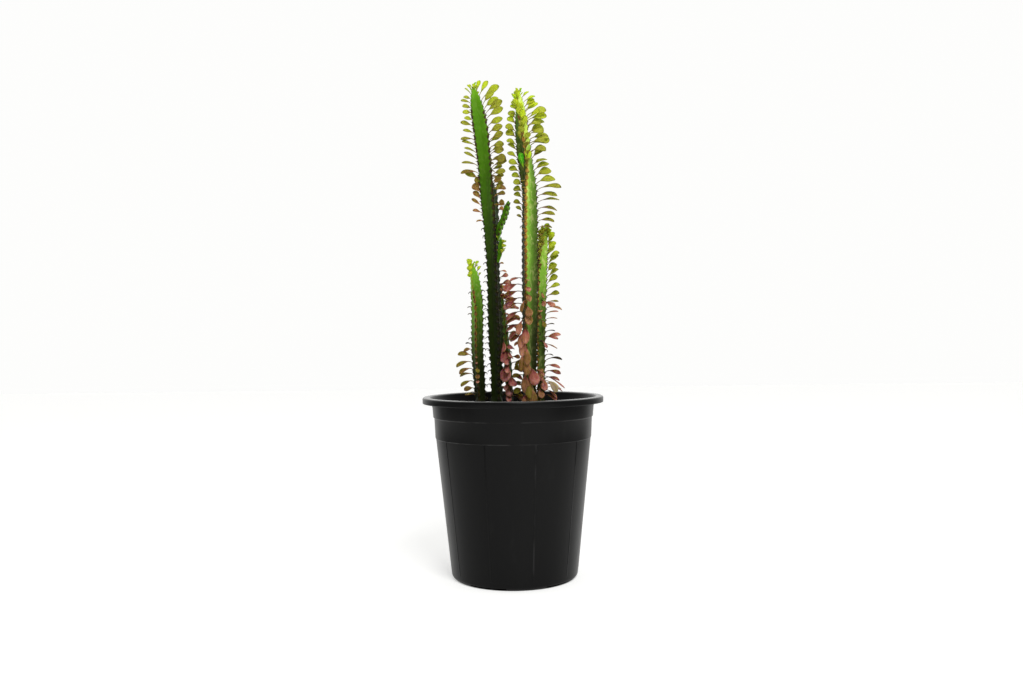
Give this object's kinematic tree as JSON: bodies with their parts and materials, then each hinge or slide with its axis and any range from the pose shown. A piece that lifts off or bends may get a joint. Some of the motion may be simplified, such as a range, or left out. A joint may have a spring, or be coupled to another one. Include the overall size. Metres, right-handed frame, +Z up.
{
  "type": "potted euphorbia",
  "caption": "Tall ridged euphorbia with leafy, spiny upright stems growing in a round black plastic nursery pot of soil.",
  "frame": {"origin": "centre of the pot's footprint, on the surface it stands on", "axes": "+Z up, -Y is the front that the picture shows, +X is to the right of that view"},
  "size_m": [0.3, 0.3, 0.8228],
  "materials": {
    "black_plastic": "satin injection-moulded black polypropylene",
    "soil": "crumbly dark potting compost",
    "plant": "waxy green succulent skin with lime to burgundy leaves"
  },
  "bodies": {
    "root": {"pot": "black_plastic", "potting_soil": "soil", "tall_left_stem": "plant", "tall_right_stem": "plant", "short_left_stem": "plant", "middle_right_stem": "plant", "thin_middle_stem": "plant"}
  },
  "joints": []
}
